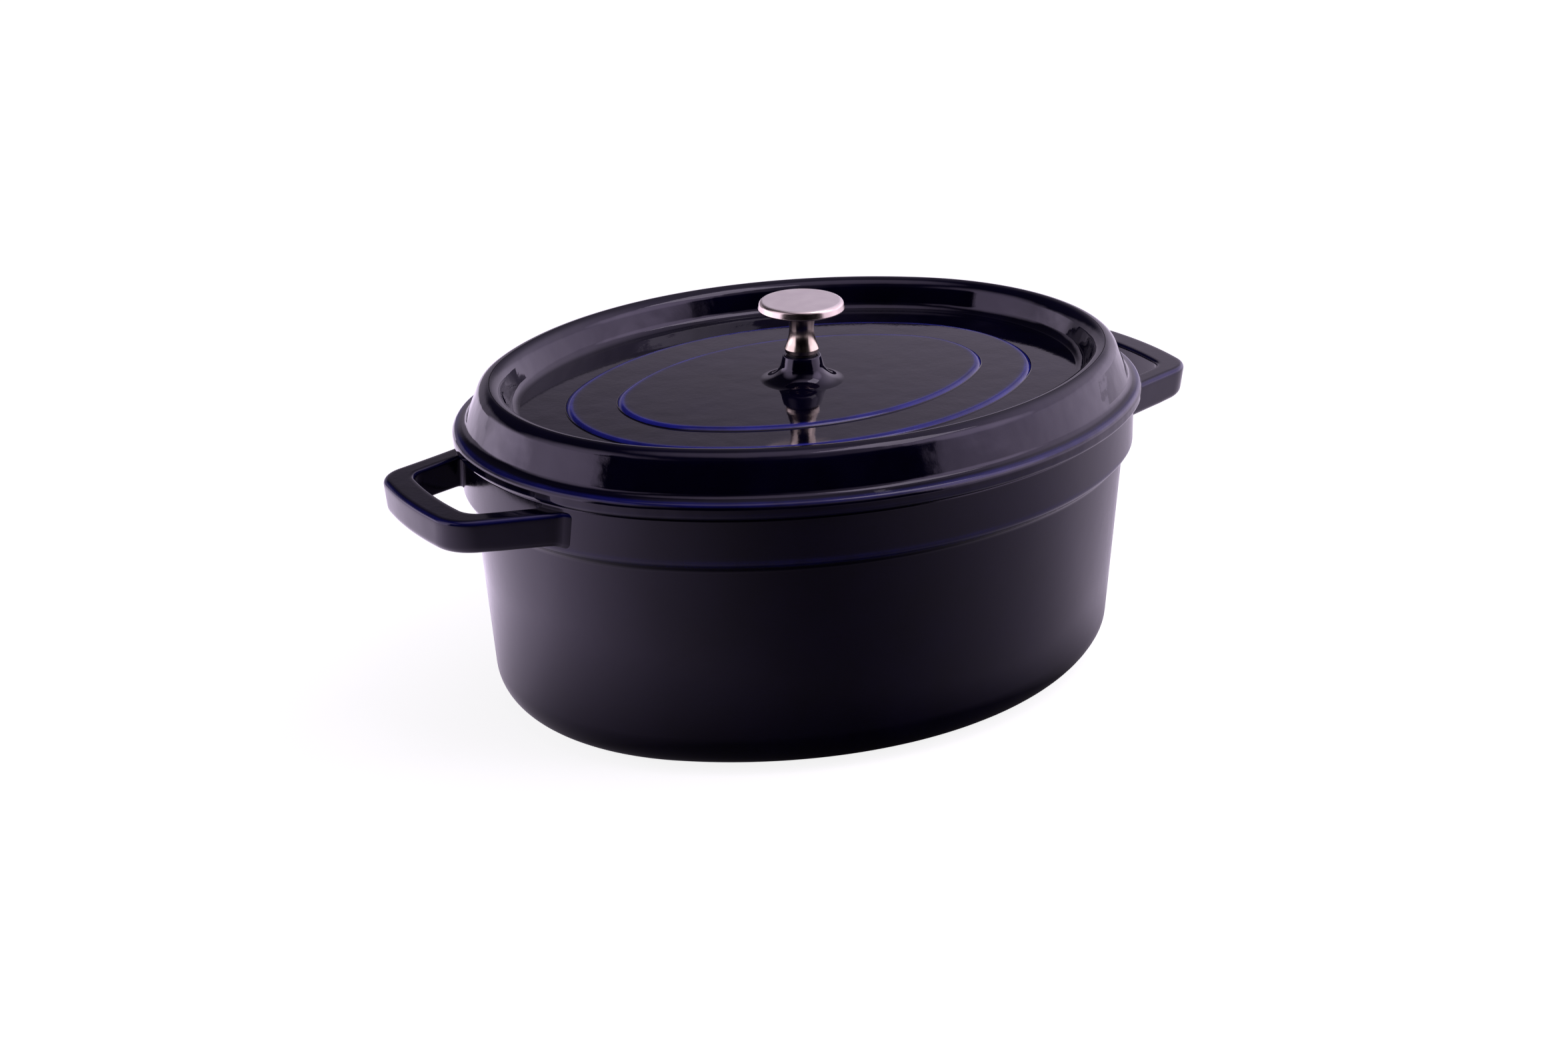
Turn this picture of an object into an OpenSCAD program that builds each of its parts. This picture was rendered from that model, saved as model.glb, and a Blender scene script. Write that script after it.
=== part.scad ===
// Oval cast iron dutch oven with a lift-off lid.
// The origin is the middle of the base, +X runs along the handles and +Z is up.
// Every outline of the pot and the lid is a ring parallel to the lid's edge, so a
// profile gives each ring by its half length and its height.

/* [Plan] */
// Length of the lid over its flange
lid_l = 310; // [300:1:320]
// Width of the lid over its flange
lid_w = 252.4; // [248:0.2:258]
// Distance from the middle to the centre of each end arc
end_centre = 46.4; // [44:0.2:50]

/* [Pot] */
// Height of the pot up to its rim
pot_h = 117.4; // [110:0.2:130]
// Half length of the collar around the rim
collar_a = 151.6; // [150.6:0.2:152.6]
// Height of the collar's lower edge above the base
collar_z = 97.4; // [90:0.2:98]
// Half length of the wall where it meets the collar
wall_top_a = 147.4; // [146:0.2:148]
// Half length of the wall carried down to the base
wall_base_a = 140.1; // [138:0.1:141]
// Radius between the wall and the base
base_r = 19; // [14:1:24]
// Thickness of the floor
floor_t = 4.2; // [4:0.2:7]
// Half length of the hollow at the rim
hollow_top_a = 145.6; // [145.2:0.2:146.2]
// Half length of the hollow carried down to the floor
hollow_base_a = 136.6; // [133:0.2:136.8]
// Radius between the hollow's wall and floor
hollow_r = 16; // [12:1:20]

/* [Lid] */
// Thickness of the flange at its outer edge
flange_t = 6.4; // [5:0.1:7]
// Height of the crest above the flange's underside
crest_h = 24.4; // [22:0.2:25]
// Height of the basin above the flange's underside
basin_h = 11.6; // [10:0.2:12]
// Half length of the outer raised ring
ring_outer_a = 105.7; // [100:0.5:110]
// Half length of the inner raised ring
ring_inner_a = 83.9; // [80:0.5:90]
// Height of each raised ring
ring_step = 1.2; // [0.8:0.1:1.6]
// Thickness of the lid's middle
lid_t = 2.8; // [2.6:0.2:5]
// Depth of the locating lip below the rim
lip_depth = 3.6; // [2:0.2:5]
// Radius of the boss under the knob
boss_r = 8.1; // [7:0.1:9]
// Height of the boss above the inner ring
boss_h = 11.3; // [10:0.1:14]

/* [Handles] */
// Distance from the middle to the outer edge of each handle
handle_x = 187.8; // [184:0.2:192]
// Width of the grip bar
grip_w = 13.3; // [11:0.1:15]
// Half width of a handle where its grip and arm lines meet
handle_y = 34.3; // [31:0.1:36]
// Angle at which the ends of the grip bar turn back, so that it bows out
grip_slope = 7.2; // [2:0.1:10]
// Width of each arm
arm_w = 10.2; // [8:0.2:12]
// How fast the arms spread towards the pot
arm_spread = 0.32; // [0.25:0.01:0.4]
// Thickness of the handles
handle_t = 14.5; // [12:0.1:15]
// Depth of the handles' top below the rim
handle_drop = 2.9; // [2:0.1:5]

/* [Knob] */
// Radius of the knob's cap
knob_r = 18.7; // [17:0.1:20]
// Height of the knob
knob_h = 23.4; // [22:0.2:27]
// Radius of the knob's waist
waist_r = 4.8; // [4.6:0.1:6]
// Radius of the screw's shank
screw_r = 2.5; // [2:0.1:3]

/* [Enamel] */
// Thickness of the matt lining inside the pot and under the lid
lining_t = 0.6; // [0.4:0.1:1]
// Distance between the basting nubs
nub_pitch = 28; // [24:1:34]
// Height of the basting nubs
nub_h = 4.6; // [3:0.2:5]

/* [Hidden] */
$fn = 96;

// Gap between the rim and the lid that rests on it
seat_gap = 0.3;
// Ring at which the flat middle plates overlap the rings around them
plate_a = 60;
plate_overlap = 6;
fine_r = 0.9;
shank_gap = 0.3;

// Half lengths of the rings that the lid's profile turns at
lid_a = lid_l / 2;
basin_edge_a = lid_a - 25.5;
crest_inner_a = lid_a - 20.2;
crest_outer_a = lid_a - 12.4;
riser_foot_a = lid_a - 5.6;
lip_outer_a = lid_a - 11;
lip_inner_a = lid_a - 14.4;
crest_wall = 4.6;

// Plan of the rings: two end arcs and two side arcs that meet at seam_angle
narrowing = (lid_l - lid_w) / 2;
side_centre = (2 * narrowing * end_centre - pow(narrowing, 2)) / (2 * end_centre - 2 * narrowing);
seam_angle = atan2(side_centre, end_centre);
side_extra = norm([end_centre, side_centre]);

// Heights
flange_z = pot_h + seat_gap;
flange_top_z = flange_z + flange_t;
crest_z = flange_z + crest_h;
basin_z = flange_z + basin_h;
band_z = basin_z + ring_step;
middle_z = band_z + ring_step;
under_z = basin_z - lid_t;
lining_z = under_z - lining_t;
boss_z = middle_z + boss_h;
seat_t = 1;
knob_z = boss_z + seat_t;
washer_t = 1;
head_z = lining_z - washer_t;
head_h = 3;
handle_top_z = pot_h - handle_drop;

// Corners [half length, height, radius] of the pot's outside, from the base to the rim
pot_outside = [
    [plate_a, 0, 0],
    [wall_base_a, 0, base_r],
    [wall_top_a, collar_z - 3.6, 3.5],
    [collar_a, collar_z, 3],
    [collar_a, pot_h, 1.5]];

// Corners of the pot's hollow, from the rim to the floor
pot_hollow = [
    [hollow_top_a, pot_h, 1.5],
    [hollow_base_a, floor_t, hollow_r],
    [plate_a, floor_t, 0]];

// Corners of the lid's top, from the middle to the flange
lid_top = [
    [plate_a, middle_z, 0],
    [ring_inner_a, middle_z, fine_r],
    [ring_inner_a + ring_step, band_z, fine_r],
    [ring_outer_a, band_z, fine_r],
    [ring_outer_a + ring_step, basin_z, fine_r],
    [basin_edge_a, basin_z, 5],
    [crest_inner_a, crest_z, 6],
    [crest_outer_a, crest_z, 6],
    [riser_foot_a, flange_top_z + 1.5, 3.5],
    [lid_a, flange_top_z, 1.3],
    [lid_a, flange_z, 1]];

// Corners of the lid's underside, from the flange over the lip to the middle
lid_under = [
    [lip_outer_a, flange_z, 0.6],
    [lip_outer_a, pot_h - lip_depth, 1],
    [lip_inner_a, pot_h - lip_depth, 1],
    [lip_inner_a + 2, flange_top_z + 1.5, 3],
    [crest_outer_a - 2.7, crest_z - crest_wall, 2],
    [crest_inner_a + 2.1, crest_z - crest_wall, 1.2],
    [basin_edge_a + 2.7, under_z, 4],
    [plate_a, under_z, 0]];
lip_corners = 4;

function unit(v) = v / norm(v);
function flat(c) = [c.x, c.y];
function cross2(u, v) = u.x * v.y - u.y * v.x;

// Points of one corner, rounded to its radius between its two neighbours
function corner(before, c, after, steps = 6) =
    let (u = unit(flat(before) - flat(c)),
         v = unit(flat(after) - flat(c)),
         half = acos(u * v) / 2,
         centre = flat(c) + unit(u + v) * c.z / sin(half),
         first = flat(c) + u * c.z / tan(half) - centre,
         turn = sign(cross2(u, v)) * (2 * half - 180))
    c.z == 0 ? [flat(c)] :
    [for (i = [0:steps])
        let (t = atan2(first.y, first.x) + turn * i / steps)
        centre + c.z * [cos(t), sin(t)]];

// Points of an open chain of corners, with both ends left sharp
function chain(c) = [
    for (i = [0:len(c) - 1])
        each (i == 0 || i == len(c) - 1) ? [flat(c[i])] : corner(c[i - 1], c[i], c[i + 1])];

// Points of a closed outline of corners
function outline(c) = [
    for (i = [0:len(c) - 1])
        each corner(c[(i + len(c) - 1) % len(c)], c[i], c[(i + 1) % len(c)])];

function left_of(u) = [-u.y, u.x];

// The same chain, moved sideways by d to the left of its direction
function parallel(c, d) = [
    for (i = [0:len(c) - 1])
        let (into = unit(flat(c[max(i, 1)]) - flat(c[max(i, 1) - 1])),
             out = unit(flat(c[min(i + 1, len(c) - 1)]) - flat(c[min(i, len(c) - 2)])),
             mid = unit(left_of(into) + left_of(out)),
             p = flat(c[i]) + mid * d / (mid * left_of(into)))
        [p.x, p.y, c[i].z == 0 ? 0 : c[i].z - sign(cross2(into, out)) * d]];

function reversed(c) = [for (i = [len(c) - 1:-1:0]) c[i]];

// Ring with the given profile, carried round the two end arcs and the two side arcs
module oval_ring(profile) {
    for (turn = [0, 180])
        rotate([0, 0, turn]) {
            translate([end_centre, 0, 0])
                rotate_extrude(angle = 2 * seam_angle, start = -seam_angle)
                    translate([-end_centre, 0])
                        polygon(profile);
            translate([0, -side_centre, 0])
                rotate_extrude(angle = 180 - 2 * seam_angle, start = seam_angle)
                    translate([side_extra - end_centre, 0])
                        polygon(profile);
        }
}

// Half length of the ring that passes through a point
function ring_at(p) =
    let (x = abs(p.x), y = abs(p.y))
    atan2(y, x - end_centre) < seam_angle ?
        norm([x - end_centre, y]) + end_centre :
        norm([x, y + side_centre]) + end_centre - side_extra;

// Flat plate that closes the middle of a ring
module middle_plate(low, high) {
    r = plate_a + plate_overlap - end_centre;
    translate([0, 0, low])
        linear_extrude(high - low)
            polygon([
                for (side = [0, 180])
                    for (t = [-75:15:75])
                        [end_centre * cos(side) + r * cos(t + side), r * 1.8 * sin(t + side)]]);
}

module pot_body() {
    color([0.07, 0.07, 0.16]) {
        oval_ring(outline(concat(pot_outside, pot_hollow)));
        middle_plate(0, floor_t);
    }
}

// Loop handle at the +X end, cast on to the collar, with its top at the height 0
module handle() {
    x0 = end_centre + 80;
    draft = 1;
    bow_r = 160;
    back = tan(grip_slope);
    tip_x = handle_x + bow_r * (1 / cos(grip_slope) - 1);
    corner_x = tip_x - handle_y * back;
    outer = [
        [x0, handle_y + (corner_x - x0) * arm_spread, 0],
        [corner_x, handle_y, 16],
        [tip_x, 0, bow_r],
        [corner_x, -handle_y, 16],
        [x0, -handle_y - (corner_x - x0) * arm_spread, 0]];
    gap_y = handle_y + (grip_w * arm_spread - arm_w * norm([1, arm_spread])) / (1 - arm_spread * back);
    gap_x = tip_x - grip_w - gap_y * back;
    inner = [
        [x0, gap_y + (gap_x - x0) * arm_spread, 0],
        [gap_x, gap_y, 10],
        [tip_x - grip_w, 0, bow_r],
        [gap_x, -gap_y, 10],
        [x0, -gap_y - (gap_x - x0) * arm_spread, 0]];
    side = [
        [x0, 2 * handle_t, 0],
        [x0, -handle_t, 0],
        [handle_x - draft, -handle_t, 4],
        [handle_x, 0, 0],
        [handle_x, 2 * handle_t, 0]];
    translate([0, 0, handle_top_z])
        intersection() {
            difference() {
                translate([0, 0, -handle_t - 1])
                    linear_extrude(handle_t + 1)
                        polygon(outline(outer));
                translate([0, 0, -handle_t - 2])
                    linear_extrude(handle_t + 3)
                        polygon(outline(inner));
                translate([end_centre, 0, -handle_t - 2])
                    cylinder(h = handle_t + 3, r = collar_a - end_centre);
            }
            translate([0, handle_x, 0])
                rotate([90, 0, 0])
                    linear_extrude(2 * handle_x)
                        polygon(outline(side));
        }
}

module left_handle() {
    color([0.07, 0.07, 0.2])
        rotate([0, 0, 180])
            handle();
}

module right_handle() {
    color([0.07, 0.07, 0.2])
        handle();
}

// Matt enamel on the inside of the pot, up to just below the rim
module pot_lining() {
    lining_top_z = pot_h - 2;
    inside = [
        [hollow_top_a - (pot_h - lining_top_z) * (hollow_top_a - hollow_base_a) / (pot_h - floor_t),
            lining_top_z, 0],
        pot_hollow[1],
        pot_hollow[2]];
    color([0.08, 0.08, 0.08]) {
        oval_ring(concat(chain(inside), reversed(chain(parallel(inside, -lining_t)))));
        middle_plate(floor_t, floor_t + lining_t);
    }
}

module lid_body() {
    color([0.07, 0.07, 0.16])
        difference() {
            union() {
                oval_ring(outline(concat(lid_top, lid_under)));
                middle_plate(under_z, middle_z);
                boss();
            }
            translate([0, 0, under_z - 1])
                cylinder(h = boss_z - under_z + 2, r = screw_r + shank_gap);
        }
}

// Boss that flares out of the lid's middle and carries the knob
module boss() {
    foot_r = 10.3;
    rotate_extrude()
        polygon(chain([
            [0, middle_z - 1],
            [boss_r + foot_r + 1, middle_z - 1, 0],
            [boss_r + foot_r + 1, middle_z, 0],
            [boss_r, middle_z, foot_r],
            [boss_r, boss_z, 0.8],
            [0, boss_z]]));
}

// Matt enamel under the lid, with the nubs that drip the condensed steam back
module lid_lining() {
    underside = [for (i = [lip_corners:len(lid_under) - 1]) lid_under[i]];
    nub_rows = floor(lid_w / 2 / nub_pitch);
    nub_columns = floor(lid_l / 2 / nub_pitch);
    color([0.08, 0.08, 0.08])
        difference() {
            union() {
                oval_ring(concat(chain(underside), reversed(chain(parallel(underside, lining_t)))));
                middle_plate(lining_z, under_z);
                for (i = [-nub_columns:nub_columns])
                    for (j = [-nub_rows:nub_rows])
                        if (ring_at(nub_pitch * [i, j]) < basin_edge_a - nub_pitch / 3 && norm([i, j]) > 0)
                            translate([nub_pitch * i, nub_pitch * j, lining_z - nub_h])
                                cylinder(h = nub_h + lining_t / 2, r1 = 1.5, r2 = 3.4);
            }
            translate([0, 0, lining_z - 1])
                cylinder(h = lining_t + 2, r = screw_r + shank_gap);
        }
}

// Turned knob with a domed cap, a narrow waist and a flared foot
module knob() {
    thread_h = 12;
    color([0.72, 0.7, 0.72])
        translate([0, 0, knob_z])
            difference() {
                rotate_extrude()
                    polygon(chain([
                        [0, 0],
                        [7.1, 0, 0.3],
                        [7.5, 1.8, 0.5],
                        [waist_r - 1.2, 9, 13],
                        [waist_r + 1.4, knob_h - 7.2, 1.5],
                        [knob_r + 0.03, knob_h - 4.2, 0.45],
                        [knob_r - 0.2, knob_h - 0.35, 1.9],
                        [0, knob_h]]));
                translate([0, 0, -1])
                    cylinder(h = thread_h + 1, r = screw_r);
            }
}

// Thin dark washer that seats the knob on the boss
module knob_seat() {
    color([0.05, 0.05, 0.05])
        translate([0, 0, boss_z])
            difference() {
                cylinder(h = seat_t, r = boss_r - 2);
                translate([0, 0, -1])
                    cylinder(h = seat_t + 2, r = screw_r);
            }
}

// Pan head screw that holds the knob from below
module knob_screw() {
    head_r = 5;
    slot_w = 1.2;
    color([0.6, 0.6, 0.62])
        difference() {
            union() {
                translate([0, 0, head_z])
                    cylinder(h = knob_z + 10 - head_z, r = screw_r);
                translate([0, 0, head_z - head_h])
                    rotate_extrude()
                        polygon(chain([
                            [0, 0],
                            [head_r, 0, 1.6],
                            [head_r, head_h, 0],
                            [0, head_h]]));
            }
            translate([-head_r - 1, -slot_w / 2, head_z - head_h - 1])
                cube([2 * head_r + 2, slot_w, 2.2]);
        }
}

// Washer between the screw's head and the lid
module screw_washer() {
    color([0.6, 0.6, 0.62])
        translate([0, 0, head_z])
            difference() {
                cylinder(h = washer_t, r = 6.5);
                translate([0, 0, -1])
                    cylinder(h = washer_t + 2, r = screw_r);
            }
}

pot_body();
left_handle();
right_handle();
pot_lining();
lid_body();
lid_lining();
knob();
knob_seat();
knob_screw();
screw_washer();
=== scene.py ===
"""Looks of an oval cast iron dutch oven: blue glaze, matt black linings and a turned metal knob."""
import math

import bpy
import numpy as np
from mathutils import Matrix, Vector


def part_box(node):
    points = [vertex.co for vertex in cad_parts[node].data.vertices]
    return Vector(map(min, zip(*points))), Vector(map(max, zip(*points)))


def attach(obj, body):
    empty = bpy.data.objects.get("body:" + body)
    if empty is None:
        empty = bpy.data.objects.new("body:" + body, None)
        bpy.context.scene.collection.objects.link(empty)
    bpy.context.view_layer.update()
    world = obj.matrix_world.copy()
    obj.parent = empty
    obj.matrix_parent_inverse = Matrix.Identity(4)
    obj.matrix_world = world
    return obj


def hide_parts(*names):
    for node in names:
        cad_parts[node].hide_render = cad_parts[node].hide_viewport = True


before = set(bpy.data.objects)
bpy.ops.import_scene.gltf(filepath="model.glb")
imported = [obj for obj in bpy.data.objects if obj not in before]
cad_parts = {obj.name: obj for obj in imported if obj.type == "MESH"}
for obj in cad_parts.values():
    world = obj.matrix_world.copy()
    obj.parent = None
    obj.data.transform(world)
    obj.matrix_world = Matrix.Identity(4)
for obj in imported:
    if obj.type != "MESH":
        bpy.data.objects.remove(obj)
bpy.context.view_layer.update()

# ---------------------------------------------------------------- dimensions, in millimetres
# A, as in LID_A, is half the length of an oval ring. Z is a height above the table.
MM = 0.001
LID_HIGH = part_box("lid_body")[1] / MM
KNOB_LOW, KNOB_HIGH = (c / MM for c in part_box("knob"))
HANDLE_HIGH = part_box("right_handle")[1] / MM
SEAT_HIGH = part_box("knob_seat")[1] / MM

LID_A = LID_HIGH.x              # half length of the lid over its flange
LID_B = 126.2                   # half width of the lid over its flange
END = 46.4                      # distance from the middle to the centre of each end arc

POT_H = 117.4                   # top of the rim
COLLAR_A = 151.6
COLLAR_Z = 97.4                 # lower edge of the collar's upright face
COLLAR_DROP = 3.6               # height of the slope under it
WALL_TOP_A = 147.4
WALL_BASE_A = 140.1
BASE_R = 19
FLOOR_T = 4.2
HOLLOW_TOP_A = 145.6
HOLLOW_BASE_A = 136.6
HOLLOW_R = 16
MATT_RIM = 2.5                  # how much of the rim is matt, from the hollow outwards
LINING_T = 0.6
LINING_DROP = 2                 # how far below the rim the pot's lining ends

FLANGE_Z = POT_H + 0.3
FLANGE_TOP_Z = FLANGE_Z + 6.4
FLANGE_MATT_A = LID_A - 4       # inside this the flange is matt underneath
CREST_Z = FLANGE_Z + 24.4
CREST_OUT_A = LID_A - 12.4
BASIN_Z = FLANGE_Z + 11.6
BASIN_A = LID_A - 25.5
RING_STEP = 1.2
BAND_Z = BASIN_Z + RING_STEP
MIDDLE_Z = BAND_Z + RING_STEP
RING_OUTER_A = 105.7
RING_INNER_A = 83.9
UNDER_Z = BASIN_Z - 2.8
UNDER_CREST_Z = CREST_Z - 4.6
LIP_A = LID_A - 11
LIP_Z = POT_H - 3.6
BOSS_R = 8.1
BOSS_Z = SEAT_HIGH.z - 1
BOSS_FOOT_R = 9.4               # radius between the boss and the lid's middle
BOSS_SPREAD = 3.2               # how much wider the boss is at its foot line
BORE_R = 2.8
CORE_R = 26                     # circle that the boss's mesh grows from
PLATE_A = 62                    # ring that joins that circle to the oval part
NUB_PITCH = 28
NUB_H = 4.6
NUB_STEPS = 20

HANDLE_X = HANDLE_HIGH.x
HANDLE_TOP_Z = HANDLE_HIGH.z
HANDLE_T = 14.5
HANDLE_Y = 34.3                 # half width where the grip and arm lines meet
GRIP_W = 13.3
GRIP_SLOPE = math.radians(7.2)  # angle at which the ends of the grip turn back
BOW_R = 160                     # radius of the grip's middle
ARM_W = 10.2
ARM_SPREAD = 0.32               # how much an arm moves outwards per length towards the collar
ARM_SUNK = 2.5                  # how far the arms run into the collar
FLARE_R = 2.6                   # radius of the fillet between an arm and the collar
FLARE_UP, FLARE_DOWN = 0.1, 0.3  # share of the flare at the arm's top and underside

KNOB_R = 18.7
CAP_DOME = 0.35                 # how far the knob's top falls towards its rim
CAP_EDGE = 4.2                  # depth of the rim's lower edge under the top
CAP_T = 7.2                     # depth of the cap where it meets the neck
WAIST_R = 4.8
WAIST_Z = 9.2                   # height of the waist above the knob's foot
FOOT_R = 7.5
SATIN_R = KNOB_R - 1.8          # the satin turning ends here

# ---------------------------------------------------------------- marks on the meshes
# The attribute thin says how thin the glaze lies at a point, and on the knob how satin it is.
THIN_REACH = 0.8                # how far the thin glaze runs on from a rounded edge
EDGE_STRONG, EDGE_MIDDLE, EDGE_FAINT = 0.8, 0.3, 0.04
COLLAR_EDGE, CREST_EDGE = 0.12, 0.01
HANDLE_EDGES = (0.3, 0.02, 0.01, 0.15)  # upper outer, lower outer, lower inner, upper inner
HANDLE_FACE = 0.004
RIM_SHARE = 0.4                 # marks the knob's rim, between its polished neck and its satin top

# ---------------------------------------------------------------- the oval's rings
CHORD = 0.02                    # how far a chord may lie from its arc
NARROWING = LID_A - LID_B
SIDE = (2 * NARROWING * END - NARROWING ** 2) / (2 * END - 2 * NARROWING)
SEAM = math.atan2(SIDE, END)
EXTRA = math.hypot(END, SIDE)
END_STEPS, SIDE_STEPS = ((64, 88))


def stations():
    """Centre, direction and extra radius of every place round the oval, arc by arc."""
    rows = []
    for arc in range(4):
        on_end = arc % 2 == 0
        middle = arc * math.pi / 2
        half = SEAM if on_end else math.pi / 2 - SEAM
        steps = END_STEPS if on_end else SIDE_STEPS
        centre_x = END * math.cos(middle) if on_end else 0
        centre_y = 0 if on_end else -SIDE * math.sin(middle)
        for k in range(steps):
            rows.append((centre_x, centre_y, middle - half + 2 * half * k / steps, 0 if on_end else EXTRA))
    return np.array(rows)


STATIONS = stations()
COUNT = len(STATIONS)
COS, SIN = np.cos(STATIONS[:, 2]), np.sin(STATIONS[:, 2])


def ring(a):
    """Plan points of the ring with half length a."""
    radius = a - END + STATIONS[:, 3]
    return np.stack([STATIONS[:, 0] + radius * COS, STATIONS[:, 1] + radius * SIN], 1)


def ring_at(x, y):
    """Half length of the ring through a plan point."""
    x, y = abs(x), abs(y)
    if math.atan2(y, x - END) < SEAM:
        return math.hypot(x - END, y) + END
    return math.hypot(x, y + SIDE) + END - EXTRA


POLAR = np.arctan2(ring(PLATE_A)[:, 1], ring(PLATE_A)[:, 0])


# ---------------------------------------------------------------- profiles
def unit(v):
    return v / np.linalg.norm(v)


def fillet(before, corner, after, radius, steps):
    """Points of an arc that rounds a corner, in the plane or in space, and its centre."""
    u, v = unit(before - corner), unit(after - corner)
    half = math.acos(np.clip(u @ v, -1, 1)) / 2
    centre = corner + unit(u + v) * radius / math.sin(half)
    start = corner + u * radius / math.tan(half) - centre
    end = corner + v * radius / math.tan(half) - centre
    total = math.pi - 2 * half
    arc = [(start * math.sin(total * (1 - k / steps)) + end * math.sin(total * k / steps)) / math.sin(total)
           for k in range(steps + 1)]
    return [centre + p for p in arc], centre


def graded(length):
    """Places along a straight stretch, close together at its ends."""
    near = []
    place, step = 0.4, 0.4
    while place < length / 2:
        near.append(place)
        step = min(step * 2, 8)
        place += step
    middle = [length / 2] if length > 1.2 else []
    return near + middle + [length - p for p in reversed(near)]


def profile(corners):
    """Rows of place, normal and thinness along a chain of rounded corners.

    A corner is (half length, height, radius) or (half length, height, radius, thinness)."""
    corners = [c if len(c) == 4 else (*c, 0) for c in corners]
    last = len(corners) - 1
    runs = []
    for i, (a, z, radius, thin) in enumerate(corners):
        here = np.array([a, z], float)
        if radius == 0 or i in (0, last):
            runs.append(([here], [None], thin))
            continue
        before = np.array(corners[i - 1][:2], float)
        after = np.array(corners[i + 1][:2], float)
        d_in, d_out = here - before, after - here
        bend = math.acos(np.clip(unit(d_in) @ unit(d_out), -1, 1))
        steps = max(4, math.ceil(bend / (2 * math.acos(1 - CHORD / radius))))
        points, centre = fillet(before, here, after, radius, steps)
        turns_left = np.sign(d_in[0] * d_out[1] - d_in[1] * d_out[0])
        runs.append((points, [-turns_left * unit(p - centre) for p in points], thin))
    rows = []
    for i, (points, normals, thin) in enumerate(runs):
        rows += [[p, n, thin] for p, n in zip(points, normals)]
        if i == last:
            break
        next_points, next_normals, next_thin = runs[i + 1]
        start = points[-1]
        along = next_points[0] - start
        length = np.linalg.norm(along)
        if length < 1e-6:
            continue
        left = np.array([-along[1], along[0]]) / length
        if rows[-1][1] is None:
            rows[-1][1] = left
        if next_normals[0] is None:
            next_normals[0] = left
        for place in graded(length):
            fade = max(thin * math.exp(-(place / THIN_REACH) ** 2),
                       next_thin * math.exp(-((length - place) / THIN_REACH) ** 2))
            rows.append([start + along * place / length, left, fade])
    return rows


def flat_row(radius, z, up):
    return [np.array([radius, z], float), np.array([0, 1 if up else -1], float), 0]


def beside(corners, d):
    """The same chain of corners, moved by d to the left of its direction."""
    moved = []
    for i, (a, z, radius) in enumerate(corners):
        here = np.array([a, z], float)
        first = here if i == 0 else np.array(corners[i - 1][:2], float)
        last = here if i == len(corners) - 1 else np.array(corners[i + 1][:2], float)
        d_in = unit(here - first) if i else unit(last - here)
        d_out = unit(last - here) if i < len(corners) - 1 else d_in
        left_in, left_out = np.array([-d_in[1], d_in[0]]), np.array([-d_out[1], d_out[0]])
        middle = unit(left_in + left_out)
        p = here + middle * d / (middle @ left_in)
        turn = np.sign(d_in[0] * d_out[1] - d_in[1] * d_out[0])
        moved.append((p[0], p[1], radius - turn * d if radius else 0))
    return moved


# ---------------------------------------------------------------- meshes
def make(name, points, faces, normals=None, values=None, indices=None):
    """A smooth mesh object in metres, with its thinness as an attribute."""
    mesh = bpy.data.meshes.new(name)
    mesh.from_pydata([tuple(p) for p in np.asarray(points) * MM], [], faces)
    mesh.polygons.foreach_set("use_smooth", [True] * len(mesh.polygons))
    if values is not None:
        layer = mesh.attributes.new("thin", "FLOAT", "POINT")
        layer.data.foreach_set("value", np.asarray(values, np.float32))
    if indices is not None:
        mesh.polygons.foreach_set("material_index", indices)
    mesh.update()
    if normals is not None:
        mesh.normals_split_custom_set_from_vertices([tuple(n) for n in normals])
    piece = bpy.data.objects.new(name, mesh)
    bpy.context.scene.collection.objects.link(piece)
    return piece


def quads(rows, count, closed=False):
    """Faces between neighbouring rows, where each row is a loop of count points."""
    faces = []
    for k in range(rows if closed else rows - 1):
        low, high = k * count, (k + 1) % rows * count
        for i in range(count):
            j = (i + 1) % count
            faces.append((low + i, high + i, high + j, low + j))
    return faces


def swept(rows, closed, core=()):
    """Grid of a profile carried round the oval. Rows in core are circles round the Z axis."""
    points, normals, values = [], [], []
    circle = np.stack([np.cos(POLAR), np.sin(POLAR)], 1)
    oval = np.stack([COS, SIN], 1)
    for k, (p, n, thin) in enumerate(rows):
        plan, out = (p[0] * circle, circle) if k in core else (ring(p[0]), oval)
        points.append(np.column_stack([plan, np.full(COUNT, p[1])]))
        normals.append(np.column_stack([out * n[0], np.full(COUNT, n[1])]))
        values.append(np.full(COUNT, thin))
    faces = quads(len(rows), COUNT, closed)
    return np.concatenate(points), faces, np.concatenate(normals), np.concatenate(values)


def capped(rows):
    """Grid that starts on a flat circle facing up and ends on one facing down, both closed by a fan."""
    last = len(rows) - 1
    points, faces, normals, values = swept(rows, False, core=(0, last))
    for row, up in ((0, 1), (last, -1)):
        pole = len(points)
        for i in range(COUNT):
            a, b = row * COUNT + i, row * COUNT + (i + 1) % COUNT
            faces.append((pole, a, b) if up > 0 else (pole, b, a))
        points = np.vstack([points, [(0, 0, rows[row][0][1])]])
        normals = np.vstack([normals, [(0, 0, up)]])
        values = np.append(values, 0)
    return points, faces, normals, values


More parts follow.
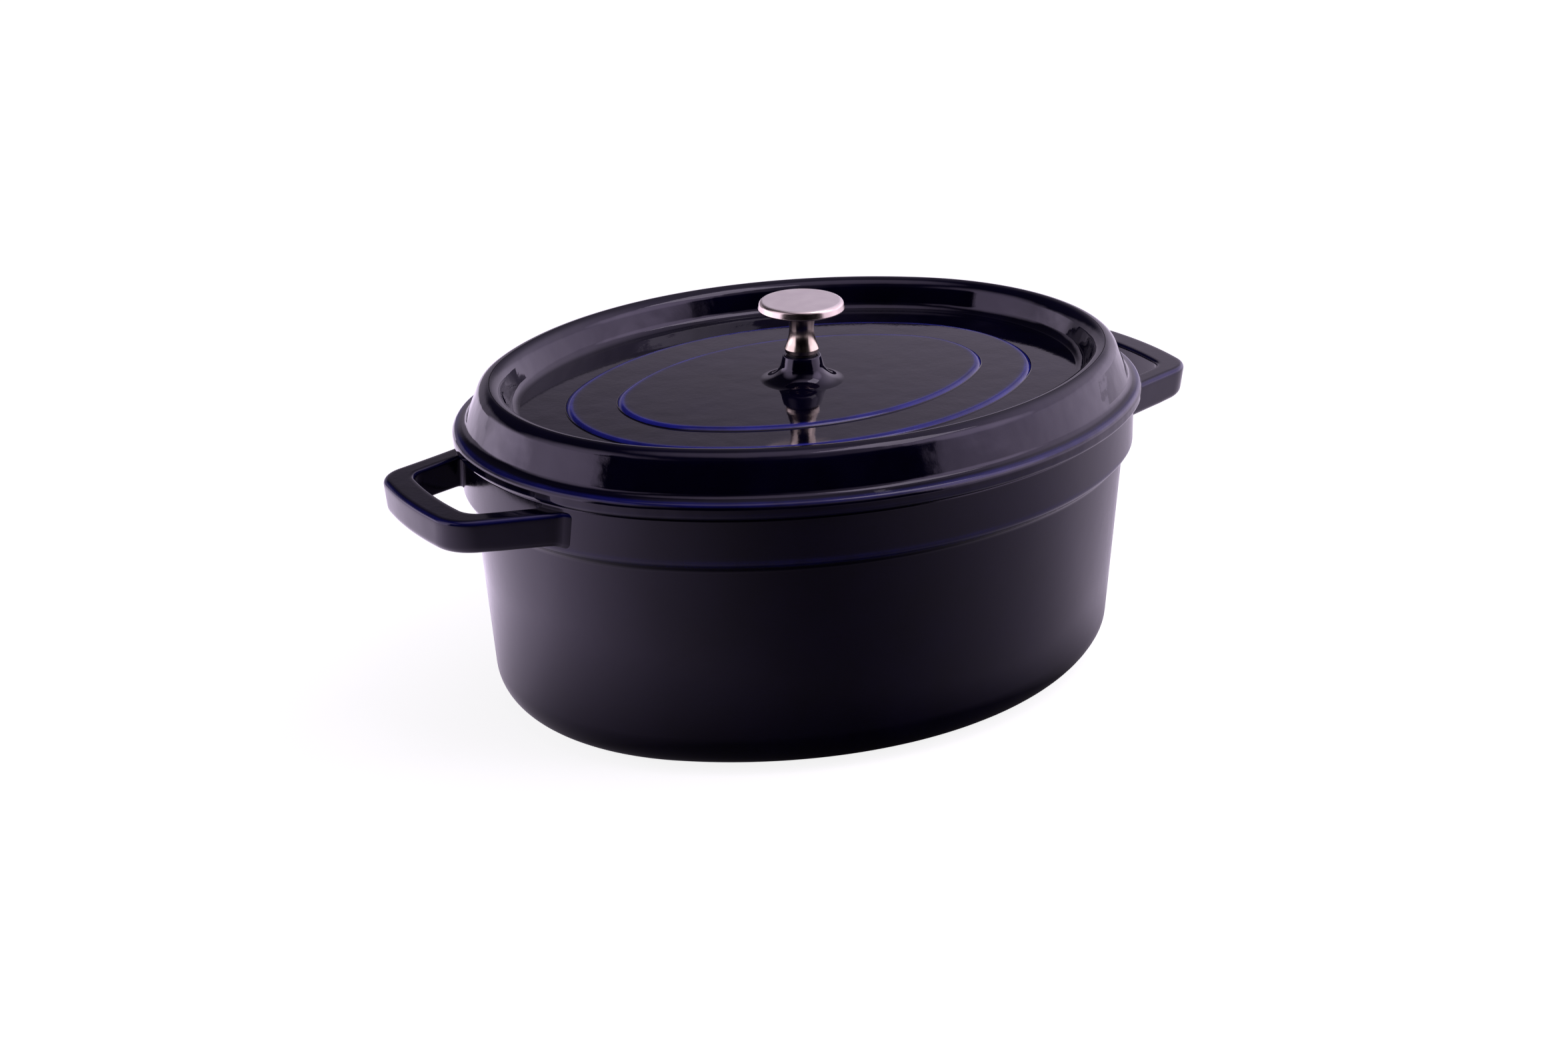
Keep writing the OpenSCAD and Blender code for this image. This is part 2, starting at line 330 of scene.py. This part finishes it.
def lathe(rows, steps, centre=(0, 0)):
    """Grid of a turned piece, from rows that run from its axis back to its axis."""
    points, normals, values, faces = [], [], [], []
    angles = 2 * math.pi * np.arange(steps) / steps
    sizes = [1 if p[0] < 1e-6 else steps for p, n, thin in rows]
    for (p, n, thin), size in zip(rows, sizes):
        for t in angles[:size]:
            out_x, out_y = math.cos(t), math.sin(t)
            points.append((centre[0] + p[0] * out_x, centre[1] + p[0] * out_y, p[1]))
            on_axis = (0, 0, math.copysign(1, n[1]))
            normals.append(on_axis if size == 1 else (n[0] * out_x, n[0] * out_y, n[1]))
            values.append(thin)
    start = 0
    for size, after in zip(sizes, sizes[1:]):
        for i in range(steps):
            j = (i + 1) % steps
            a, b = start + i % size, start + j % size
            c, d = start + size + j % after, start + size + i % after
            faces.append(list(dict.fromkeys((a, d, c, b))))
        start += size
    return points, faces, normals, values


def merged(parts):
    """Several grids as one."""
    points, faces, normals, values = [], [], [], []
    offset = 0
    for p, f, n, v in parts:
        points.append(np.asarray(p))
        normals.append(np.asarray(n))
        values.append(np.asarray(v))
        faces += [tuple(i + offset for i in face) for face in f]
        offset += len(p)
    return np.concatenate(points), faces, np.concatenate(normals), np.concatenate(values)


# ---------------------------------------------------------------- pot and lid
def pot():
    """The casting of the pot, with a bare matt rim and hollow and a glazed outside."""
    rows = [flat_row(CORE_R, FLOOR_T, True)] + profile([
        (PLATE_A, FLOOR_T, 0),
        (HOLLOW_BASE_A, FLOOR_T, HOLLOW_R),
        (HOLLOW_TOP_A, POT_H, 1.5),
        (COLLAR_A, POT_H, 1.5),
        (COLLAR_A, COLLAR_Z, 3, COLLAR_EDGE),
        (WALL_TOP_A, COLLAR_Z - COLLAR_DROP, 3.5),
        (WALL_BASE_A, 0, BASE_R),
        (PLATE_A, 0, 0)]) + [flat_row(CORE_R, 0, False)]
    matt_rows = sum(1 for p, n, thin in rows
                    if p[1] > 1 and (p[0] < HOLLOW_TOP_A + MATT_RIM and n[1] >= 0 or n[0] < 0))
    indices = [int(k < matt_rows) for k in range(len(rows) - 1) for i in range(COUNT)]
    return make("pot_casting", *capped(rows), indices=indices + [1] * COUNT + [0] * COUNT)


def lining_of_pot():
    """The matt enamel in the pot, which ends just below the rim."""
    top_z = POT_H - LINING_DROP
    top_a = HOLLOW_TOP_A - (POT_H - top_z) * (HOLLOW_TOP_A - HOLLOW_BASE_A) / (POT_H - FLOOR_T)
    wall = [(PLATE_A, FLOOR_T, 0), (HOLLOW_BASE_A, FLOOR_T, HOLLOW_R), (top_a, top_z, 0)]
    inner = beside(wall, LINING_T)
    inner[-1] = (*inner[-1][:2], LINING_T * 0.45)
    skin = profile(inner + list(reversed(wall)))
    rows = [flat_row(CORE_R, FLOOR_T + LINING_T, True)] + skin + [flat_row(CORE_R, FLOOR_T, False)]
    return make("pot_enamel_lining", *capped(rows))


LID_UNDER = [
    (LIP_A, FLANGE_Z, 0.6),
    (LIP_A, LIP_Z, 1),
    (LID_A - 14.4, LIP_Z, 1),
    (CREST_OUT_A, FLANGE_TOP_Z + 1.5, 3),
    (LID_A - 15.1, UNDER_CREST_Z, 2),
    (LID_A - 18.1, UNDER_CREST_Z, 1.2),
    (LID_A - 22.8, UNDER_Z, 4),
    (PLATE_A, UNDER_Z, 0)]


def lid():
    """The casting of the lid: boss, two raised rings, basin, crest, flange and lip in one skin."""
    boss = profile([
        (BORE_R, BOSS_Z, 0),
        (BOSS_R, BOSS_Z, 0.8, EDGE_FAINT),
        (BOSS_R + BOSS_SPREAD, MIDDLE_Z, BOSS_FOOT_R),
        (CORE_R, MIDDLE_Z, 0)])
    oval = profile([
        (PLATE_A, MIDDLE_Z, 0),
        (RING_INNER_A, MIDDLE_Z, 2.8, EDGE_STRONG),
        (RING_INNER_A + RING_STEP, BAND_Z, 1),
        (RING_OUTER_A, BAND_Z, 2.8, EDGE_STRONG),
        (RING_OUTER_A + RING_STEP, BASIN_Z, 1),
        (BASIN_A, BASIN_Z, 5),
        (LID_A - 20.2, CREST_Z, 6, CREST_EDGE),
        (CREST_OUT_A, CREST_Z, 6, CREST_EDGE),
        (LID_A - 5.6, FLANGE_TOP_Z + 1.5, 3.5),
        (LID_A - 1.2, FLANGE_TOP_Z + 0.3, 2.2, EDGE_MIDDLE),
        (LID_A, FLANGE_TOP_Z - 1.5, 2.4),
        (LID_A, FLANGE_Z, 2.2, EDGE_FAINT)] + LID_UNDER)
    rows = boss + oval + [flat_row(CORE_R, UNDER_Z, False), flat_row(BORE_R, UNDER_Z, False)]
    core = set(range(len(boss))) | {len(rows) - 1, len(rows) - 2}
    glazed = next(k for k, (p, n, thin) in enumerate(rows)
                  if k > len(boss) and p[1] < FLANGE_Z + 0.1 and p[0] < FLANGE_MATT_A)
    indices = [int(k >= glazed) for k in range(len(rows)) for i in range(COUNT)]
    return make("lid_casting", *swept(rows, True, core), indices)


def lining_of_lid():
    """The matt enamel under the lid, with the rows of nubs that drip the steam back."""
    root_z = UNDER_Z - LINING_T
    upper = list(reversed(LID_UNDER[3:]))
    upper[-1] = (*upper[-1][:2], 0)
    skin = profile(upper + list(reversed(beside(upper, -LINING_T))))
    rows = [flat_row(CORE_R, UNDER_Z, True)] + skin + [
        flat_row(CORE_R, root_z, False), flat_row(BORE_R, root_z, False), flat_row(BORE_R, UNDER_Z, True)]
    parts = [swept(rows, True, core=(0, len(rows) - 3, len(rows) - 2, len(rows) - 1))]
    nub = profile([
        (0, root_z, 0),
        (5.2, root_z, 0),
        (3.1, root_z - 0.4, 1.2),
        (1.6, root_z - NUB_H, 1.1),
        (0, root_z - NUB_H, 0)])
    columns, lines = int(LID_A // NUB_PITCH), int(LID_B // NUB_PITCH)
    for i in range(-columns, columns + 1):
        for j in range(-lines, lines + 1):
            x, y = NUB_PITCH * i, NUB_PITCH * j
            if (i or j) and ring_at(x, y) < BASIN_A - NUB_PITCH / 3:
                parts.append(lathe(nub, NUB_STEPS, (x, y)))
    return make("lid_enamel_lining", *merged(parts))


def knob():
    """The turned knob: a slightly domed cap, a rounded rim, a waist and a flared foot."""
    foot_z, top_z = KNOB_LOW.z, KNOB_HIGH.z
    rows = profile([
        (0, top_z, 0),
        (KNOB_R - 0.9, top_z - CAP_DOME, 2),
        (KNOB_R + 0.03, top_z - CAP_EDGE, 0.6),
        (WAIST_R + 1.4, top_z - CAP_T, 1.5),
        (WAIST_R - 0.4, foot_z + WAIST_Z, 18),
        (FOOT_R, foot_z + 1.8, 0.5),
        (FOOT_R - 0.4, foot_z, 0.3),
        (0, foot_z, 0)])
    fade = 1.2
    for row in rows:
        radius, z = row[0]
        if z > top_z - 1:
            row[2] = float(np.clip((SATIN_R + fade - radius) / fade, RIM_SHARE, 1))
        elif z > top_z - CAP_EDGE - 0.4:
            row[2] = RIM_SHARE
    return make("turned_knob", *lathe(rows, 180))


# ---------------------------------------------------------------- handles
ARM_STEPS, TURN_STEPS, BOW_STEPS = 34, 14, 12
ARC_STEPS = 8                   # steps round each long edge of a handle
FACE_INSET = 1.2                # distance from a long edge to the next points on its faces


def loop_line(reach, y_corner, radius):
    """Plan points of one edge of the loop: arm, corner, bowed bar, corner, arm.

    The bar reaches out to the given X, and the arms start a little inside the collar."""
    tip = np.array([reach + BOW_R * (1 / math.cos(GRIP_SLOPE) - 1), 0])
    corner = np.array([tip[0] - y_corner * math.tan(GRIP_SLOPE), y_corner])
    low, high = END + 60, corner[0] - radius
    for _ in range(40):
        x = (low + high) / 2
        inside = ring_at(x, y_corner + (corner[0] - x) * ARM_SPREAD) < COLLAR_A - ARM_SUNK
        low, high = (x, high) if inside else (low, x)
    root = np.array([x, y_corner + (corner[0] - x) * ARM_SPREAD])
    arc, _ = fillet(root, corner, tip, radius, TURN_STEPS)
    half = [root + (arc[0] - root) * k / ARM_STEPS for k in range(ARM_STEPS)] + arc
    middle, _ = fillet(corner, tip, corner * [1, -1], BOW_R, BOW_STEPS)
    return half + middle + [p * [1, -1] for p in reversed(half)]


def flare(point):
    """How far an arm has widened where it nears the collar."""
    near = min(max(FLARE_R - (ring_at(*point) - COLLAR_A), 0), FLARE_R)
    return FLARE_R - math.sqrt(FLARE_R ** 2 - near ** 2)


def handle_section(top_out, low_out, low_in, top_in):
    """Points and thinness round one section, from the plan points of its four long edges."""
    outward = unit(top_out - top_in)
    outer_grow, inner_grow = flare(top_out), flare(top_in)
    grow = (outer_grow + inner_grow) / 2
    top_z, low_z = FLARE_UP * grow, -HANDLE_T - FLARE_DOWN * grow
    corners = [
        np.array([*(top_out + outward * outer_grow), top_z]),
        np.array([*(low_out + outward * outer_grow), low_z]),
        np.array([*(low_in - outward * inner_grow), low_z]),
        np.array([*(top_in - outward * inner_grow), top_z])]
    on_bar = float(np.clip((top_out[0] - HANDLE_X + 22) / 12, 0, 1))
    radii = (2.1, 2.6 + 1.2 * on_bar, 2.2, 1.5)
    arcs = [fillet(corners[k - 1], corners[k], corners[(k + 1) % 4], radii[k], ARC_STEPS)[0]
            for k in range(4)]
    section, thin = [], []
    for k, peak in enumerate(HANDLE_EDGES):
        section += arcs[k]
        thin += [peak * math.sin(math.pi * i / ARC_STEPS) ** 2 for i in range(ARC_STEPS + 1)]
        start, end = arcs[k][-1], arcs[(k + 1) % 4][0]
        along = unit(end - start)
        section += [start + along * FACE_INSET, (start + end) / 2, end - along * FACE_INSET]
        thin += [HANDLE_FACE] * 3
    return section, thin


def handle(name, side):
    """A loop handle: a rounded section along the loop, flared where the arms meet the collar."""
    gap_x = HANDLE_X - GRIP_W
    back = ARM_SPREAD * math.tan(GRIP_SLOPE)
    gap_y = HANDLE_Y + (GRIP_W * ARM_SPREAD - ARM_W * math.hypot(1, ARM_SPREAD)) / (1 - back)
    lines = (
        loop_line(HANDLE_X, HANDLE_Y, 16),
        loop_line(HANDLE_X - 1, HANDLE_Y - 1.2, 18),
        loop_line(gap_x + 2.5, gap_y + 1, 10.5),
        loop_line(gap_x, gap_y, 10))
    sections, thin_rows = zip(*(handle_section(*edges) for edges in zip(*lines)))
    points = np.array(sections).reshape(-1, 3)
    points[:, 2] += HANDLE_TOP_Z
    if side < 0:
        points[:, :2] *= -1
    count = len(sections[0])
    faces = quads(len(sections), count)
    faces.append(tuple(range(count)))
    faces.append(tuple(reversed(range((len(sections) - 1) * count, len(sections) * count))))
    return make(name, points, faces, values=np.array(thin_rows).ravel())


# ---------------------------------------------------------------- materials
def adder(tree):
    """A function that adds a node to the tree, with its inputs joined or set."""
    def add(kind, inputs=(), **settings):
        node = tree.nodes.new(kind)
        for key, value in settings.items():
            setattr(node, key, value)
        for key, value in dict(inputs).items():
            if isinstance(value, bpy.types.NodeSocket):
                tree.links.new(value, node.inputs[key])
            else:
                node.inputs[key].default_value = value
        return node

    return add


def nodes_of(name):
    """A new material with one principled shader, and helpers that add and join nodes."""
    material = bpy.data.materials.new(name)
    material.use_nodes = True
    tree = material.node_tree
    shader = tree.nodes["Principled BSDF"]

    def join(socket, name):
        tree.links.new(socket, shader.inputs[name])

    return material, shader, adder(tree), join


def noise(add, scale, detail=3):
    place = add("ShaderNodeTexCoord").outputs["Object"]
    settings = {"Vector": place, "Scale": scale, "Detail": detail, "Roughness": 0.55}
    return add("ShaderNodeTexNoise", settings).outputs["Fac"]


def ranged(add, value, low, high, to_low, to_high, **settings):
    limits = {"Value": value, "From Min": low, "From Max": high, "To Min": to_low, "To Max": to_high}
    return add("ShaderNodeMapRange", limits, **settings).outputs["Result"]


def mixed(add, factor, a, b):
    node = add("ShaderNodeMix", {0: factor}, data_type="RGBA")
    for index, colour in ((6, a), (7, b)):
        if isinstance(colour, bpy.types.NodeSocket):
            node.id_data.links.new(colour, node.inputs[index])
        else:
            node.inputs[index].default_value = (*colour, 1)
    return node.outputs[2]


def times(add, a, b):
    return add("ShaderNodeMath", {0: a, 1: b}, operation="MULTIPLY").outputs[0]


def plus(add, a, b):
    return add("ShaderNodeMath", {0: a, 1: b}, operation="ADD").outputs[0]


def bump(add, height, depth, strength, **joined):
    """Normal of a surface whose relief is depth millimetres deep."""
    settings = {"Height": height, "Distance": depth * MM, "Strength": strength, **joined}
    return add("ShaderNodeBump", settings).outputs[0]


def glaze(name, roughness, ripple):
    """Blue glaze: near black where it lies thick, bright blue where it has run thin off an edge.

    The ripple is the depth in millimetres of its waves, which are strongest on steep faces."""
    material, shader, add, join = nodes_of(name)
    thin = add("ShaderNodeAttribute", attribute_name="thin").outputs["Fac"]
    patches = ranged(add, noise(add, 70, 4), 0.3, 0.7, 0.55, 1.3)
    edge = times(add, thin, patches)
    cloud = ranged(add, noise(add, 38, 5), 0.35, 0.65, 0, 1)
    deep = mixed(add, cloud, (0.0010, 0.0006, 0.0050), (0.0020, 0.0013, 0.0092))
    join(mixed(add, edge, deep, (0.016, 0.02, 0.25)), "Base Color")
    join(ranged(add, noise(add, 240, 3), 0.3, 0.7, roughness * 0.85, roughness * 1.2), "Roughness")
    shader.inputs["Specular IOR Level"].default_value = 0.5
    shader.inputs["Specular Tint"].default_value = (0.88, 0.82, 1, 1)
    upright = add("ShaderNodeSeparateXYZ", {0: add("ShaderNodeNewGeometry").outputs["Normal"]}).outputs[2]
    upright = add("ShaderNodeMath", {0: upright}, operation="ABSOLUTE").outputs[0]
    steep = ranged(add, upright, 0.5, 0.95, 1, 0.12)
    wave = bump(add, noise(add, 62, 1.5), ripple, steep)
    join(bump(add, noise(add, 520, 2), 0.012, 1.0, Normal=wave), "Normal")
    return material


def matt_enamel():
    """Black enamel with a fine grain."""
    material, shader, add, join = nodes_of("matt_black_enamel")
    speckle = ranged(add, noise(add, 900, 4), 0.35, 0.7, 0, 1)
    join(mixed(add, speckle, (0.008, 0.008, 0.009), (0.022, 0.021, 0.023)), "Base Color")
    join(ranged(add, noise(add, 300, 4), 0.3, 0.7, 0.42, 0.6), "Roughness")
    shader.inputs["Specular IOR Level"].default_value = 0.4
    join(bump(add, noise(add, 1300, 3), 0.05, 0.6), "Normal")
    return material


def knob_steel():
    """Fine satin turning on the cap, a pale smooth rim, and a warmer polish on the neck and foot."""
    material, shader, add, join = nodes_of("turned_steel")
    shader.inputs["Metallic"].default_value = 1
    share = add("ShaderNodeAttribute", attribute_name="thin").outputs["Fac"]
    place = add("ShaderNodeTexCoord").outputs["Object"]
    x, y, z = add("ShaderNodeSeparateXYZ", {0: place}).outputs
    square = plus(add, times(add, x, x), times(add, y, y))
    radius = add("ShaderNodeMath", {0: square}, operation="SQRT").outputs[0]
    along = add("ShaderNodeCombineXYZ", {0: radius, 2: z}).outputs[0]
    rings = add("ShaderNodeTexNoise", {"Vector": along, "Scale": 5200, "Detail": 2}).outputs["Fac"]
    smudge = noise(add, 160, 3)
    cap = mixed(add, ranged(add, smudge, 0.3, 0.7, 0, 1), (0.93, 0.87, 0.85), (0.97, 0.92, 0.89))
    off_neck = ranged(add, share, 0, RIM_SHARE, 0, 1)
    rim = mixed(add, off_neck, (0.68, 0.58, 0.47), (0.7, 0.6, 0.54))
    satin = ranged(add, share, RIM_SHARE, 1, 0, 1)
    join(mixed(add, satin, rim, cap), "Base Color")
    join(plus(add, ranged(add, smudge, 0.3, 0.7, 0.17, 0.22), times(add, satin, 0.45)), "Roughness")
    join(bump(add, rings, 0.004, satin), "Normal")
    return material


# Near black ring under the knob's foot, where it meets the boss.
def near_black_knob_seat():
    material, shader, add, join = nodes_of("near_black_knob_seat")
    join(mixed(add, noise(add, 700, 3), (0.012, 0.008, 0.008), (0.03, 0.02, 0.018)), "Base Color")
    join(ranged(add, noise(add, 900, 3), 0.3, 0.7, 0.35, 0.5), "Roughness")
    return material


def screw_steel():
    material, shader, add, join = nodes_of("screw_steel")
    shader.inputs["Metallic"].default_value = 1
    join(mixed(add, noise(add, 500, 4), (0.42, 0.42, 0.44), (0.62, 0.61, 0.62)), "Base Color")
    join(ranged(add, noise(add, 350, 4), 0.3, 0.7, 0.22, 0.4), "Roughness")
    join(bump(add, noise(add, 1500, 2), 0.01, 0.7), "Normal")
    return material


WALL_GLAZE = glaze("blue_glaze_pot", 0.15, 0.06)
LID_GLAZE = glaze("blue_glaze_lid", 0.05, 0.5)
HANDLE_GLAZE = glaze("blue_glaze_handle", 0.1, 0.2)
MATT = matt_enamel()


def finish_piece(piece, body, slot, materials, *nodes):
    for material in materials:
        piece.data.materials.append(material)
    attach(piece, body)
    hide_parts(*nodes)


finish_piece(pot(), "pot", "blue_enamel", (WALL_GLAZE, MATT), "pot_body")
finish_piece(handle("left_loop_handle", -1), "pot", "blue_enamel", (HANDLE_GLAZE,), "left_handle")
finish_piece(handle("right_loop_handle", 1), "pot", "blue_enamel", (HANDLE_GLAZE,), "right_handle")
finish_piece(lining_of_pot(), "pot", "black_enamel", (MATT,), "pot_lining")
finish_piece(lid(), "lid", "blue_enamel", (LID_GLAZE, MATT), "lid_body")
finish_piece(lining_of_lid(), "lid", "black_enamel", (MATT,), "lid_lining")
finish_piece(knob(), "lid", "knob_metal", (knob_steel(),), "knob")
for node, material in (("knob_seat", near_black_knob_seat()),
                       ("knob_screw", screw_steel()),
                       ("screw_washer", screw_steel())):
    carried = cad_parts[node]
    carried.data.materials.clear()
    carried.data.materials.append(material)

# ---------------------------------------------------------------- studio, in metres and radians
CAMERA_TURN = -0.5406           # the camera's direction round the pot, from the front
CAMERA_RISE = 0.3279            # and its height over the table, as an angle
CAMERA_DISTANCE = 1.3013
CAMERA_ROLL = 0.01400
AIM = Vector((0, 0, 0.1241))    # the point the camera orbits
FOCAL_PX = 4518.2
IMAGE_W = 2352
AIM_OFF = (30.36, 190.47)       # how far the aim lies from the middle of the image, in its pixels
SENSOR_W = 36

AWAY = Vector((-math.sin(CAMERA_TURN), math.cos(CAMERA_TURN), 0))
ACROSS = Vector((AWAY.y, -AWAY.x, 0))

# Soft glows of the studio: degrees round, degrees up, full within, gone beyond, radiance
GLOWS = (
    (153, 84, 2, 28, 0.9),
    (80, 7.6, 2, 94, 0.92),
    (100, 36.2, 5, 24, 1.55),
    (-119, 10.4, 15.7, 50, 1.5),
    (-73.5, -12, 7.5, 31, 2.6),
    (61, 18, 2, 46, 0.6),
)
LOW_GLOW, HIGH_GLOW = 0.42, 0.03  # radiance of the rest of the room, low down and higher up
DARK_TURN = 178.5               # middle of the dark part of the room, in degrees round
DARK_SIDES = (60, 51)           # degrees from there: bright beyond, dark within
DARK_TOP = (60, 44)             # degrees from straight up: dark beyond, bright within
DARK_RAGGED = 0.05              # unevenness of its sides
SOFTBOX_AT = (98, 64)           # degrees round, degrees up
SOFTBOX_SPAN = (26, 22)         # degrees wide and high, as the pot sees it
SOFTBOX_LEVEL = 2.5             # radiance
SOFTBOX_DISTANCE = 2.2
LILAC = (0.90, 0.78, 1, 1)

FLOOR_HALF = 6
FLOOR_GAP = 0.0002              # the floor lies this far below the pot
FLOOR_TO_EYE = 0.86             # with the lit part of the floor this makes white
# The floor's glow that reflections see is painted light, dimmed near the pot as painted shadow.
FLOOR_DIM = 0.1                 # the least that the floor shows in a reflection
FLOOR_FRONT, FLOOR_RIGHT, FLOOR_LEFT = 165, 80, -100  # its sides, in degrees round


def direction(turn, rise):
    """Unit vector by degrees clockwise from straight behind the pot, and degrees above the table."""
    t, r = math.radians(turn), math.radians(rise)
    return (AWAY * math.cos(t) + ACROSS * math.sin(t)) * math.cos(r) + Vector((0, 0, math.sin(r)))


def softbox():
    """A rectangular lamp that faces the pot from its right."""
    lamp = bpy.data.lights.new("overhead", "AREA")
    lamp.shape = "RECTANGLE"
    lamp.size, lamp.size_y = (2 * SOFTBOX_DISTANCE * math.tan(math.radians(span / 2))
                              for span in SOFTBOX_SPAN)
    lamp.energy = SOFTBOX_LEVEL * math.pi * lamp.size * lamp.size_y
    lamp.color = (1, 0.94, 1)
    box = bpy.data.objects.new("overhead", lamp)
    bpy.context.scene.collection.objects.link(box)
    look = direction(*SOFTBOX_AT)
    box.location = Vector((0, 0, 0.1)) + look * SOFTBOX_DISTANCE
    box.rotation_euler = look.to_track_quat("Z", "Y").to_euler()
    box.visible_camera = False


def vector(add, operation, a, b=None):
    """A vector node, which gives a number for a dot product or a length."""
    node = add("ShaderNodeVectorMath", {0: a} if b is None else {0: a, 1: b}, operation=operation)
    return node.outputs["Value" if operation in ("DOT_PRODUCT", "LENGTH") else "Vector"]


def sky():
    """White where the camera looks, and for the pot soft glows and a dark part of the room."""
    world = bpy.data.worlds.new("studio")
    bpy.context.scene.world = world
    world.use_nodes = True
    tree = world.node_tree
    add = adder(tree)

    def soft(value, low, high, to_low, to_high):
        """Eases between two values while a cosine goes from that of one angle to that of another."""
        low, high = math.cos(math.radians(low)), math.cos(math.radians(high))
        return ranged(add, value, low, high, to_low, to_high, interpolation_type="SMOOTHSTEP")

    look = add("ShaderNodeTexCoord").outputs["Generated"]
    height = add("ShaderNodeSeparateXYZ", {0: look}).outputs[2]
    total = soft(height, 76, 67, LOW_GLOW, HIGH_GLOW)
    for turn, rise, full, gone, level in GLOWS:
        glow = soft(vector(add, "DOT_PRODUCT", look, direction(turn, rise)), gone, full, 0, level)
        total = plus(add, total, glow)
    flat = vector(add, "NORMALIZE", vector(add, "MULTIPLY", look, (1, 1, 0)))
    facing = vector(add, "DOT_PRODUCT", flat, direction(DARK_TURN, 0))
    ragged = add("ShaderNodeTexNoise", {"Vector": look, "Scale": 7.0, "Detail": 2.0}).outputs["Fac"]
    facing = plus(add, facing, ranged(add, ragged, 0.3, 0.7, -DARK_RAGGED, DARK_RAGGED))
    dark = times(add, soft(facing, *DARK_SIDES, 0, 1), soft(height, *DARK_TOP, 1, 0))
    open_part = add("ShaderNodeMath", {0: 1.0, 1: dark}, operation="SUBTRACT").outputs[0]
    room = add("ShaderNodeBackground", {"Color": LILAC, "Strength": times(add, total, open_part)}).outputs[0]
    white = add("ShaderNodeBackground", {"Color": (1, 1, 1, 1), "Strength": 1.0}).outputs[0]
    seen = add("ShaderNodeLightPath").outputs["Is Camera Ray"]
    both = add("ShaderNodeMixShader", {0: seen, 1: room, 2: white}).outputs[0]
    tree.links.new(both, tree.nodes["World Output"].inputs["Surface"])


def table_top():
    """A plain pale floor that keeps the pot's soft shadow; in the pot's reflections it shows a painted glow,
    with painted light at the sides and painted shadow near the pot.
    """
    x, z = FLOOR_HALF / MM, -FLOOR_GAP / MM
    floor = make("floor", [(-x, -x, z), (x, -x, z), (x, x, z), (-x, x, z)], [(0, 1, 2, 3)])
    material, shader, add, _ = nodes_of("pale_floor")
    tree = material.node_tree
    tree.nodes.remove(shader)
    place = add("ShaderNodeTexCoord").outputs["Object"]
    outward = vector(add, "NORMALIZE", place)

    def facing(turn):
        return vector(add, "DOT_PRODUCT", outward, direction(turn, 0))

    front, right, left = facing(FLOOR_FRONT), facing(FLOOR_RIGHT), facing(FLOOR_LEFT)
    # Distance from the middle, as a share of the pot's base. Painted shadow: near the pot the glow that
    # reflections see is dimmed.
    base = (1 / (WALL_BASE_A * MM), 1 / ((WALL_BASE_A - NARROWING) * MM), 0)
    distance = vector(add, "LENGTH", vector(add, "MULTIPLY", place, base))
    near_start = ranged(add, front, 0, 1, 0.82, 1.13)
    near_end = ranged(add, right, -0.5, 0.9, 1.7, 1.3)
    near = ranged(add, distance, near_start, near_end, FLOOR_DIM, 1)
    # Painted light: in reflections the floor glows bright at the sides, more so on the left, and dim towards
    # the front.
    side = times(add, ranged(add, front, 0.1, 1, 0.9, 0), ranged(add, left, -0.9, 1, 0.82, 1.85))
    far = times(add, ranged(add, right, 0.1, 0.9, 0, 0.4), ranged(add, distance, 2.5, 8, 0, 1))
    # The painted glow that reflections see: painted light at the sides, painted shadow near the pot.
    painted_reflection_glow = times(add, plus(add, plus(add, side, far), FLOOR_DIM), near)
    path = add("ShaderNodeLightPath")
    lit = add("ShaderNodeBsdfDiffuse", {"Color": (0.4, 0.39, 0.4, 1)}).outputs[0]
    to_eye = times(add, path.outputs["Is Camera Ray"], FLOOR_TO_EYE)
    to_eye = add("ShaderNodeEmission", {"Color": (1, 1, 1, 1), "Strength": to_eye}).outputs[0]
    # Glossy rays see this painted glow in place of the floor's own shading.
    painted_glow_shader = add("ShaderNodeEmission", {"Color": LILAC, "Strength": painted_reflection_glow}).outputs[0]
    shown = add("ShaderNodeAddShader", {0: to_eye, 1: lit}).outputs[0]
    both = add("ShaderNodeMixShader", {0: path.outputs["Is Glossy Ray"], 1: shown, 2: painted_glow_shader}).outputs[0]
    tree.links.new(both, tree.nodes["Material Output"].inputs["Surface"])
    floor.data.materials.append(material)


def camera():
    """The photograph's view: an orbit round the aim, then the small turns that place it in the image."""
    level = math.cos(CAMERA_RISE)
    back = np.array([math.sin(CAMERA_TURN) * level, -math.cos(CAMERA_TURN) * level, math.sin(CAMERA_RISE)])
    right = unit(np.cross(-back, [0, 0, 1]))
    rows = np.array([right, np.cross(right, -back), -back])
    yaw, pitch = (math.atan2(off, FOCAL_PX) for off in AIM_OFF)
    c, s = math.cos(yaw), math.sin(yaw)
    turn_y = np.array([[c, 0, s], [0, 1, 0], [-s, 0, c]])
    c, s = math.cos(pitch), math.sin(pitch)
    turn_x = np.array([[1, 0, 0], [0, c, s], [0, -s, c]])
    c, s = math.cos(CAMERA_ROLL), math.sin(CAMERA_ROLL)
    turn_z = np.array([[c, -s, 0], [s, c, 0], [0, 0, 1]])
    rows = turn_z @ turn_x @ turn_y @ rows
    data = bpy.data.cameras.new("camera")
    data.sensor_width = SENSOR_W
    data.lens = SENSOR_W * FOCAL_PX / IMAGE_W
    data.clip_end = 50
    eye = bpy.data.objects.new("camera", data)
    bpy.context.scene.collection.objects.link(eye)
    turned = Matrix([rows[0], rows[1], -rows[2]]).transposed().to_4x4()
    eye.matrix_world = Matrix.Translation(AIM + Vector(back) * CAMERA_DISTANCE) @ turned
    bpy.context.scene.camera = eye


softbox()
sky()
table_top()
camera()
bpy.context.scene.view_settings.view_transform = "Standard"
